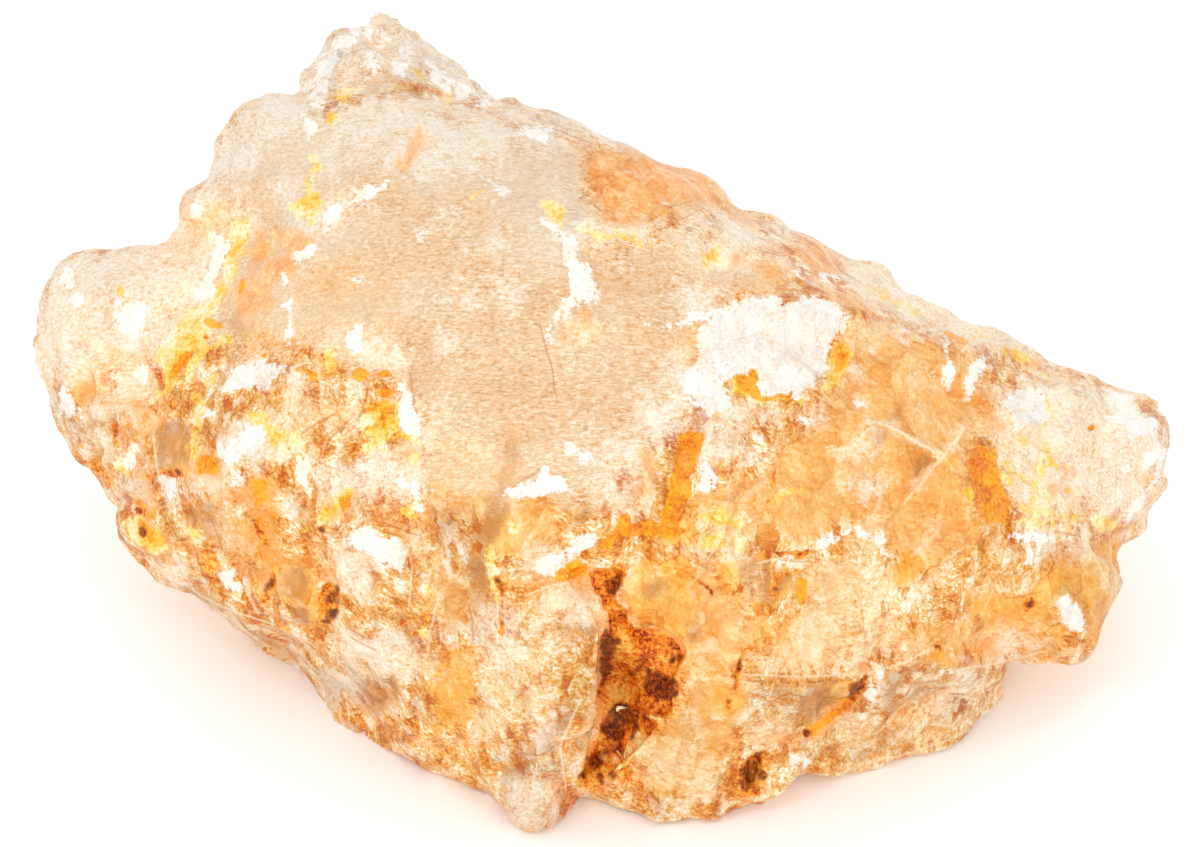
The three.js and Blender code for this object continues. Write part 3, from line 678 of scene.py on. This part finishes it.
def past_lines(sheet, lines):
    """How far each point is from the nearest line, below 0 on one side of it, in rules."""
    past = np.full(len(sheet), FAR)
    for (line,) in marks(lines):
        near = beside(sheet, line)
        distance, side = from_line(sheet[near], line)
        closer = distance < np.abs(past[near])
        past[near[closer]] = (distance * side)[closer]
    return past


def keep(mesh, name, values):
    layer = mesh.attributes.new(name, "FLOAT", "POINT")
    layer.data.foreach_set("value", values.astype(np.float32))


places = places_of(stone.data)
outward = outward_of(stone.data)
straight_sheet = on_sheet(places)
wander = np.stack([unevenness(places, 0.9, 31, 3), unevenness(places, 0.9, 41, 3)], axis=1)
sheet = straight_sheet + wander * 3.5
face_on = ease(outward @ OUT, -0.6, -0.25)

# On the hidden sides the same zones lie where chance puts them.
for seed, (name, (rarity, lump, zone)) in enumerate(ZONES.items(), start=50):
    shown = zone_depth(sheet, zone) / RULES
    chance = (unevenness(places, lump, seed, 3) - rarity) * lump * 0.6
    keep(stone.data, name, np.clip(chance + (shown - chance) * face_on, -2, 2))
for name, lines in (("pale_lines", PALE_LINES), ("dark_lines", DARK_LINES)):
    past = past_lines(straight_sheet + wander, lines) / RULES
    keep(stone.data, name, np.clip(past, -0.5, 0.5))
    keep(stone.data, name + "_near", (1 - ease(np.abs(past), 0.25, 0.45)) * face_on)
satin = inside(sheet, CLEAVAGE_FACE) / RULES
chance = unevenness(places, 12, 60, 2) * 6
keep(stone.data, "satin", np.clip(chance + (satin - chance) * face_on, -2, 2))


# How far each point lies below the surface round it, above 0 in hollows and below 0 on edges.
links = neighbours(stone.data)
below = [np.sum((spread(links, places, rounds) - places) * outward, axis=1) for rounds in (4, 40)]
keep(stone.data, "edge_or_crease", np.clip(below[0] / 0.05, -2, 2))
keep(stone.data, "bump_or_hollow", np.clip(below[1] / 0.25, -2, 2))


def shut_in(mesh, places, outward, rays, seed):
    """The share of the daylight that each point loses to the stone round it."""
    random = np.random.default_rng(seed)
    surface = BVHTree.FromPolygons(places.tolist(), [tuple(f.vertices) for f in mesh.polygons])
    starts = (places + outward * 0.03).tolist()
    lost = np.zeros(len(places))
    for _ in range(rays):
        ways = random.normal(size=places.shape)
        ways = outward + ways / np.linalg.norm(ways, axis=1)[:, None] * 0.98
        lost += [surface.ray_cast(start, way)[0] is not None for start, way in zip(starts, ways.tolist())]
    return lost / rays


RAYS = 12  # from each point
# How much daylight each point loses, to the stone round it and, low down facing the table, to its shadow
# there: it sets the painted fill light further on.
lost = spread(links, shut_in(stone.data, places, outward, RAYS, 80), 5)
lost += ease(-outward[:, 2], 0.0, 1.0) * ease(-places[:, 2], -9.0, 0.0) * 0.5
keep(stone.data, "shut_in", lost)

# Unevenness that the colours share: clouds, patches, and ribs that run down the columns.
keep(stone.data, "clouds", unevenness(places, 5.0, 71, 2))
keep(stone.data, "patches", unevenness(places, 1.7, 72, 3))
across, up, out = on_face(places).T
columns = np.stack([across + up * 0.1, up * 0.25, out * 0.8], axis=1)
keep(stone.data, "ribs", unevenness(columns, 0.8, 73, 3))


# ---------------------------------------------------------------------------------------------
# Petalite: peach crystal, part clear and part milky, satin on its cleavage and glassy where it
# broke. Stain and crust cover it in the zones above.
# ---------------------------------------------------------------------------------------------

LIGHT = 1.25  # how strong the light is, beside one that shows each colour as it is written
WARMTH = (1.05, 1.0, 0.92)  # what crystal gives back of the red, green and blue that enter it


def tone(red, green, blue):
    """A colour as the eye reads it in that light, each part from 0 to 255 or just above it."""
    parts = [((part / 255 + 0.055) / 1.055) ** 2.4 for part in (red, green, blue)]
    return tuple(min(part * warm / LIGHT, 0.97) for part, warm in zip(parts, WARMTH))


class Shade:
    """One number or colour inside a material, on which arithmetic can be written."""

    def __init__(self, bench, socket):
        self.bench = bench
        self.socket = socket

    def math(self, operation, *others):
        inputs = dict(enumerate([self, *others]))
        return self.bench.node("Math", {"operation": operation}, inputs)

    def __add__(self, other):
        return self.math("ADD", other)

    def __sub__(self, other):
        return self.math("SUBTRACT", other)

    def __rsub__(self, other):
        return self.bench.node("Math", {"operation": "SUBTRACT"}, {0: other, 1: self})

    def __mul__(self, other):
        return self.math("MULTIPLY", other)

    def __truediv__(self, other):
        return self.math("DIVIDE", other)

    __radd__ = __add__
    __rmul__ = __mul__

    def vector(self, operation, other):
        inputs = {0: self, 1: other}
        return self.bench.node("VectorMath", {"operation": operation}, inputs)

    def eased(self, low, high):
        settings = {"interpolation_type": "SMOOTHSTEP"}
        return self.bench.node("MapRange", settings, {"Value": self, 1: low, 2: high})


class Bench:
    """The material being made: node() adds a node, with its settings and what goes into it."""

    def __init__(self, name):
        self.material = bpy.data.materials.new(name)
        self.material.use_nodes = True
        self.tree = self.material.node_tree
        self.tree.nodes.clear()

    def node(self, kind, settings=None, inputs=None, output=0):
        made = self.tree.nodes.new("ShaderNode" + kind)
        for key, value in (settings or {}).items():
            if key == "stops":
                ramp = made.color_ramp
                while len(ramp.elements) < len(value):
                    ramp.elements.new(1.0)
                for element, (position, colour) in zip(ramp.elements, value):
                    element.position = position
                    element.color = (*colour, 1)
            else:
                setattr(made, key, value)
        for key, value in (inputs or {}).items():
            if isinstance(value, Shade):
                self.tree.links.new(value.socket, made.inputs[key])
            else:
                made.inputs[key].default_value = value
        return Shade(self, made.outputs[output] if made.outputs else None)

    def noise(self, where, size, detail=2.0, roughness=0.5, distortion=0.0):
        inputs = {"Vector": where, "Scale": 1 / size, "Detail": detail}
        inputs |= {"Roughness": roughness, "Distortion": distortion}
        return self.node("TexNoise", None, inputs)

    def stretched(self, where, scale, turn=0.0):
        inputs = {"Vector": where, "Rotation": (0, 0, turn), "Scale": scale}
        return self.node("Mapping", None, inputs)

    def ramp(self, factor, *stops):
        stops = [(place, tone(*colour)) for place, *colour in stops]
        return self.node("ValToRGB", {"stops": stops}, {"Fac": factor})

    def painted(self, under, share, factor, *stops):
        """A layer over what is under it, in the ramp's colours."""
        return self.mixed(share, under, self.ramp(factor, *stops))

    def mixed(self, factor, first, second):
        colours = [c if isinstance(c, Shade) else (*c, 1) for c in (first, second)]
        return self.node(
            "Mix", {"data_type": "RGBA"}, {0: factor, 6: colours[0], 7: colours[1]}, 2
        )

    def on_mesh(self, name):
        return self.node("Attribute", {"attribute_name": name}, None, 2)


bench = Bench("petalite")
object_place = bench.node("TexCoord", None, None, 3)
face_shift = -(FACE_ORIGIN @ ON_FACE)
face_place = bench.node(
    "Mapping",
    None,
    {"Vector": object_place, "Location": face_shift, "Rotation": (-LEAN, 0, 0), "Scale": (1 / MM,) * 3},
)

clouds = bench.on_mesh("clouds")
patches = bench.on_mesh("patches")
ribs = bench.on_mesh("ribs")
crease = bench.on_mesh("edge_or_crease")
hollow = bench.on_mesh("bump_or_hollow")

# Fine unevenness, each kind as often above 0 as below it: silk runs across the stone, and flecks
# have no direction. On the breaks it is made of small crystals, long from top to bottom, each
# with a tone and a tilt of its own, and with feathers and fibres that run its own way.
silk_place = bench.stretched(face_place, (0.28, 1.0, 1.0), math.radians(10))
silk = bench.noise(silk_place, 0.13, 3, 0.7, 0.5) - 0.5
flecks = bench.noise(face_place, 0.24, 3, 0.75) - 0.5
column_place = bench.stretched(face_place, (1.0, 0.42, 0.8), math.radians(-8))


def shards(size, uneven):
    """A tone for each small crystal, and the height of its tilted face."""
    bent = column_place.vector("ADD", flecks * uneven)
    sizes = {"Vector": bent, "Scale": 1 / size, "Randomness": 0.95}
    tone_of_each = bench.node("TexVoronoi", {"feature": "F1"}, sizes, 1)
    seat = Shade(bench, tone_of_each.socket.node.outputs["Position"])
    tilt = tone_of_each.vector("SUBTRACT", (0.5, 0.5, 0.5))
    height = bench.node(
        "VectorMath",
        {"operation": "DOT_PRODUCT"},
        {0: bent.vector("SUBTRACT", seat), 1: tilt},
        1,
    )
    return bench.node("SeparateColor", None, {0: tone_of_each}) - 0.5, height


tone_large, height_large = shards(1.4, 0.4)
tone_small, height_small = shards(0.45, 0.25)
turned = bench.node(
    "VectorRotate",
    {"rotation_type": "Z_AXIS"},
    {"Vector": face_place, "Angle": tone_large * 2.6 - 0.6},
)
feathers = bench.noise(bench.stretched(turned, (1.0, 0.28, 0.7)), 0.36, 3, 0.65, 0.5) - 0.5
fibres = bench.noise(bench.stretched(turned, (1.0, 0.5, 0.9)), 0.13, 2, 0.6) - 0.5
satin = (bench.on_mesh("satin") * 0.7 + patches * 0.8 + silk * 3).eased(-0.5, 0.5)
speck = flecks * 1.5 + silk + tone_small * 0.8 + patches * 0.5


def zone_mask(name, band, soft=0.35, wander=1.0):
    return (bench.on_mesh(name) / band + speck * wander).eased(-soft, soft)


crust = zone_mask("white_crust", 0.40, 0.22, 1.1)
yellow = zone_mask("yellow_stain", 0.35, 0.25, 1.3)
orange = zone_mask("orange_stain", 0.55, 0.50, 1.2)
rust = zone_mask("bright_rust", 0.16, 0.3, 1.0)
iron = zone_mask("iron_grains", 0.18, 0.3)
pit_shade = zone_mask("black_iron", 0.18, 0.6, 1.3)
smoky = zone_mask("smoky_crystal", 0.5, 0.6)
veils = zone_mask("milky_veils", 0.6, 0.7)
see_through = zone_mask("clear_crystal", 1.0, 0.8)
pale = zone_mask("pale_crystal", 1.2, 0.9, 0.8)
peach = zone_mask("peach_crystal", 0.8, 0.8, 0.7)
amber = zone_mask("amber_crystal", 0.4, 0.5, 1.0)

# The cleavage face is silky: short light and dark lines, down to the right, and brown pinpricks.
silk_tone = silk * 0.75 + flecks * 0.35 + fibres * 0.2 + clouds * 0.10 + 0.5
satin_colour = bench.ramp(
    silk_tone,
    (0.27, 188, 122, 66),
    (0.37, 216, 168, 116),
    (0.45, 227, 190, 150),
    (0.54, 234, 205, 172),
    (0.61, 245, 228, 202),
    (0.72, 252, 248, 240),
)
# Higher up the broad side the satin is paler and greyer.
height_up = bench.node("SeparateXYZ", None, {0: face_place}, 1)
higher_up = (height_up + clouds * 9).eased(5, 16)
satin_colour = bench.mixed(higher_up * 0.35, satin_colour, tone(243, 228, 208))

# The breaks are glassy and deeper in colour, each small crystal in a tone of its own; the whitest tones
# are partly painted glints.
crystal_tone = tone_large * 0.20 + tone_small * 0.14 + height_large * 0.20 + height_small * 0.25
glass_tone = (
    crystal_tone * (clouds * 1.6 + 1.0).eased(0, 1.4)
    + flecks * 0.55 + ribs * 0.22 + patches * 0.16 + feathers * 0.60 + fibres * 0.95 + 0.48
)
glass_colour = bench.ramp(
    glass_tone,
    (0.20, 192, 92, 0),
    (0.32, 218, 136, 30),
    (0.43, 232, 166, 78),
    (0.53, 240, 191, 120),
    (0.62, 248, 220, 172),
    (0.71, 255, 251, 238),
)
busy = (clouds * 1.5 + ribs * 1.2 + 0.75).eased(0, 1) * (1 - peach * 0.6)
# Painted highlights: on the busy parts some small crystals are painted near white as glints.
painted_glints = tone_small.eased(0.28, 0.36) * busy
ambers = (0 - tone_small).eased(0.30, 0.38) * busy
glass_colour = bench.mixed(painted_glints * 0.3, glass_colour, tone(255, 252, 242))
glass_colour = bench.mixed(ambers * 0.3, glass_colour, tone(206, 112, 14))
base = bench.mixed(satin, glass_colour, satin_colour)

# In their zones the crystal is peach, amber, smoky, milky with fibres, or pale.
peach_tone = (
    feathers * 0.55 + tone_large * 0.12 + height_large * 0.18 + height_small * 0.12
    + flecks * 0.36 + fibres * 0.16 + clouds * 0.10 + 0.5
)
base = bench.painted(
    base,
    peach * (0.85 - satin * 0.55),
    peach_tone,
    (0.30, 230, 150, 58),
    (0.42, 241, 174, 88),
    (0.53, 247, 192, 118),
    (0.63, 251, 210, 150),
    (0.74, 255, 236, 200),
)
base = bench.painted(
    base,
    amber * 0.88,
    peach_tone + tone_small * 0.08,
    (0.30, 220, 128, 14),
    (0.42, 240, 164, 56),
    (0.54, 249, 185, 80),
    (0.66, 254, 209, 124),
)
smoky_colour = bench.mixed(tone_small + 0.5, tone(174, 106, 48), tone(212, 150, 88))
base = bench.mixed(smoky * (0.78 - satin * 0.35), base, smoky_colour)
base = bench.painted(
    base,
    veils * 0.75,
    silk * 0.4 + feathers * 0.5 + flecks * 0.35 + fibres * (0.55 - peach * 0.35) + tone_small * 0.15 + 0.5,
    (0.30, 230, 166, 98),
    (0.43, 247, 205, 148),
    (0.55, 252, 228, 187),
    (0.68, 255, 249, 232),
)
base = bench.painted(
    base,
    pale * 0.85,
    silk * 0.7 + flecks * 0.6 + fibres * 0.5 + patches * 0.12 + 0.5,
    (0.27, 224, 176, 128),
    (0.37, 240, 214, 180),
    (0.48, 247, 232, 212),
    (0.60, 252, 247, 240),
)

# The upper left of the broad side is a little darker.
across = bench.node("SeparateXYZ", None, {0: face_place}, 0)
upper_left_darker = higher_up * (0 - across).eased(-6, 2)
base = base.vector("MULTIPLY", bench.mixed(upper_left_darker, (1.0, 1.0, 1.0), (0.90, 0.92, 0.95)))

# Painted light: the hollows are painted warmer and lighter, for light that comes through the crystal.
painted_glow_in_hollows = (hollow * 0.7 + crease * 0.2).eased(0.0, 1.3)
base = bench.mixed(painted_glow_in_hollows * 0.35, base, tone(255, 222, 170))

# Painted highlights: the thin edges and the pale lines along the crystals' edges are painted light, with
# thin pale seams among them; stain gathers in the creases and cracks.
uneven_width = 0.10 + flecks * 0.2
pale_line = 1 - (bench.on_mesh("pale_lines").math("ABSOLUTE") / uneven_width).eased(0.4, 1.0)
dark_line = 1 - (bench.on_mesh("dark_lines").math("ABSOLUTE") / uneven_width).eased(0.2, 0.8)
on_pale_line = pale_line * bench.on_mesh("pale_lines_near")
on_dark_line = dark_line * bench.on_mesh("dark_lines_near")
seam = 1 - ((ribs + flecks).math("ABSOLUTE") / 0.05).eased(0.3, 1.0)
painted_edge_highlights_and_seams = (0 - crease).eased(0.4, 1.6) * 0.4 + on_pale_line * 0.55 + seam * 0.25
painted_edge_highlights_and_seams = (painted_edge_highlights_and_seams * (1 - satin * 0.7)).eased(0, 1)
base = bench.mixed(painted_edge_highlights_and_seams * 0.85, base, tone(255, 240, 208))
stained_creases = (crease * 0.4 + hollow * 0.6 + flecks).eased(0.45, 1.7)
base = bench.mixed(stained_creases * 0.5 * (1 - pale * 0.7), base, tone(226, 140, 46))
# The dark lines are brown cracks, and under the plate's lower edge a painted shadow.
base = bench.mixed(on_dark_line * 0.45, base, tone(186, 100, 36))
pinpricks = (flecks + patches * 0.06).eased(0.16, 0.24) * (1 - satin * 0.6) * (1 - pale * 0.5)
base = bench.mixed(pinpricks * 0.5, base, tone(206, 112, 20))

# Stain and crust lie over it: orange, yellow, bright rust, and white crust last.
base = bench.painted(
    base,
    orange * 0.8,
    flecks * 0.7 + tone_small * 0.2 + patches * 0.12 + 0.5,
    (0.30, 222, 122, 40),
    (0.43, 244, 160, 80),
    (0.55, 251, 184, 112),
    (0.70, 255, 220, 168),
)
base = bench.painted(
    base,
    yellow * 0.92,
    flecks * 0.7 + patches * 0.22 + tone_small * 0.1 + 0.5,
    (0.24, 214, 110, 0),
    (0.34, 240, 158, 0),
    (0.43, 248, 192, 42),
    (0.52, 251, 217, 108),
    (0.60, 253, 236, 176),
    (0.70, 255, 250, 226),
)
base = bench.painted(
    base,
    rust * 0.95,
    flecks * 0.8 + patches * 0.15 + 0.5,
    (0.32, 214, 96, 0),
    (0.46, 248, 152, 0),
    (0.60, 255, 184, 30),
)
base = bench.painted(
    base,
    crust * 0.92,
    flecks * 0.9 + silk * 0.3 + feathers * 0.3 + patches * 0.15 + 0.5,
    (0.26, 240, 206, 160),
    (0.37, 247, 240, 228),
    (0.50, 249, 250, 252),
    (0.66, 252, 255, 259),
)

# Painted light: where the stone shuts out the daylight, and low down over its shadow on the table, the
# colour is painted lighter and warmer, for the light in the crystal that still reaches the surface.
painted_fill_light = bench.mixed(bench.on_mesh("shut_in"), (1.0, 1.0, 1.0), (1.80, 1.50, 1.18))
base = base.vector("MULTIPLY", painted_fill_light).vector("MINIMUM", (0.97, 0.95, 0.92))

# Iron fills the pocket with brown grains, painted a little darker in the creases as shade; the black
# spots, in its hollows and small pits that let no light through, are painted shade.
base = bench.painted(
    base,
    iron,
    flecks * 1.2 + patches * 0.2 - crease * 0.05 + 0.55,
    (0.26, 84, 20, 0),
    (0.37, 168, 58, 0),
    (0.48, 230, 112, 4),
    (0.60, 250, 158, 36),
    (0.76, 255, 208, 110),
)
base = bench.painted(
    base, pit_shade * 0.9, flecks + 0.5, (0.40, 44, 10, 0), (0.50, 112, 34, 0), (0.62, 200, 88, 6)
)

# How rough it is, and how its surface stands up under the light.
dull = satin * 0.20 + crust * 0.35 + iron * 0.35 + (yellow + orange) * 0.12 + 0.14
shard_height = height_large * 0.30 + height_small * 0.36
calm = bench.on_mesh("satin").eased(-0.8, 0.5)
relief_height = silk * 0.04 + flecks * 0.05 + shard_height * (1 - calm * 0.9)
relief_bump = bench.node(
    "Bump", None, {"Strength": 0.9, "Distance": MM, "Height": relief_height}
)

milky = bench.node(
    "BsdfPrincipled",
    None,
    {
        "Base Color": base,
        "Roughness": dull,
        "IOR": 1.505,
        "Specular IOR Level": 0.22,
        "Normal": relief_bump,
    },
)
clear = bench.node(
    "BsdfPrincipled",
    None,
    {
        "Base Color": (1.0, 0.95, 0.88, 1),
        "Roughness": 0.10,
        "IOR": 1.505,
        "Transmission Weight": 1.0,
        "Normal": relief_bump,
    },
)
covered = (crust + yellow * 0.8 + orange * 0.6 + iron + veils * 0.5).eased(0.0, 1.0)
CLEAR_SHARE = 0.14
clearness = (1 - covered) * see_through * CLEAR_SHARE
surface = bench.node("MixShader", None, {0: clearness, 1: milky, 2: clear})
taken_up = {"Color": (*tone(255, 232, 200), 1), "Density": 100.0}
tint = bench.node("VolumeAbsorption", None, taken_up)
bench.node("OutputMaterial", None, {"Surface": surface, "Volume": tint})

stone.data.transform(Matrix.Scale(MM, 4))
stone.data.materials.append(bench.material)
for face in stone.data.polygons:
    face.use_smooth = True
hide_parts("petalite")
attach(stone, "root")


# ---------------------------------------------------------------------------------------------
# The table top and the light: a white sweep under soft light from all round.
# ---------------------------------------------------------------------------------------------

table_mesh = bpy.data.meshes.new("table_top")
HALF_TABLE = 3.0
table_mesh.from_pydata(
    [(-HALF_TABLE, -HALF_TABLE, 0), (HALF_TABLE, -HALF_TABLE, 0), (HALF_TABLE, HALF_TABLE, 0),
     (-HALF_TABLE, HALF_TABLE, 0)],
    [],
    [(0, 1, 2, 3)],
)
table_top = bpy.data.objects.new("table_top", table_mesh)
bpy.context.collection.objects.link(table_top)
sweep = Bench("white_sweep")
white = {"Base Color": (0.95, 0.95, 0.95, 1), "Roughness": 0.7}
paper = sweep.node("BsdfPrincipled", None, white)
sweep.node("OutputMaterial", None, {"Surface": paper})
table_mesh.materials.append(sweep.material)

world = bpy.data.worlds.new("soft_room")
bpy.context.scene.world = world
world.use_nodes = True
world.node_tree.nodes["Background"].inputs["Color"].default_value = (1.0, 1.0, 1.0, 1)
world.node_tree.nodes["Background"].inputs["Strength"].default_value = LIGHT


def soft_box(name, place, size, power):
    light = bpy.data.lights.new(name, "AREA")
    light.shape = "SQUARE"
    light.size = size
    light.energy = power
    holder = bpy.data.objects.new(name, light)
    holder.location = place
    holder.rotation_euler = (-Vector(place)).to_track_quat("-Z", "Y").to_euler()
    bpy.context.collection.objects.link(holder)


soft_box("key_light", (-0.28, -0.22, 0.40), 0.06, 0.25)
soft_box("side_light", (0.30, -0.35, 0.22), 0.06, 0.2)
soft_box("front_light", (-0.10, -0.50, 0.15), 0.06, 0.25)


# ---------------------------------------------------------------------------------------------
# The camera looks straight at the broad side through a long lens.
# ---------------------------------------------------------------------------------------------

CAMERA_DISTANCE = 1500.0  # mm
VIEW_WIDTH = 1200 / RULES
VIEW_MIDDLE_UP = (SHEET_ORIGIN[1] - 847 / 2) / RULES

camera_data = bpy.data.cameras.new("camera")
camera_data.sensor_width = 36
camera_data.lens = camera_data.sensor_width * CAMERA_DISTANCE / VIEW_WIDTH
camera_data.clip_start = 0.05
camera_data.clip_end = 20
camera = bpy.data.objects.new("camera", camera_data)
camera_place = (FACE_ORIGIN + UP * VIEW_MIDDLE_UP + OUT * CAMERA_DISTANCE) * MM
camera.matrix_world = Matrix.Translation(camera_place) @ Matrix(ON_FACE).to_4x4()
bpy.context.collection.objects.link(camera)
bpy.context.scene.camera = camera
bpy.context.scene.view_settings.view_transform = "Standard"
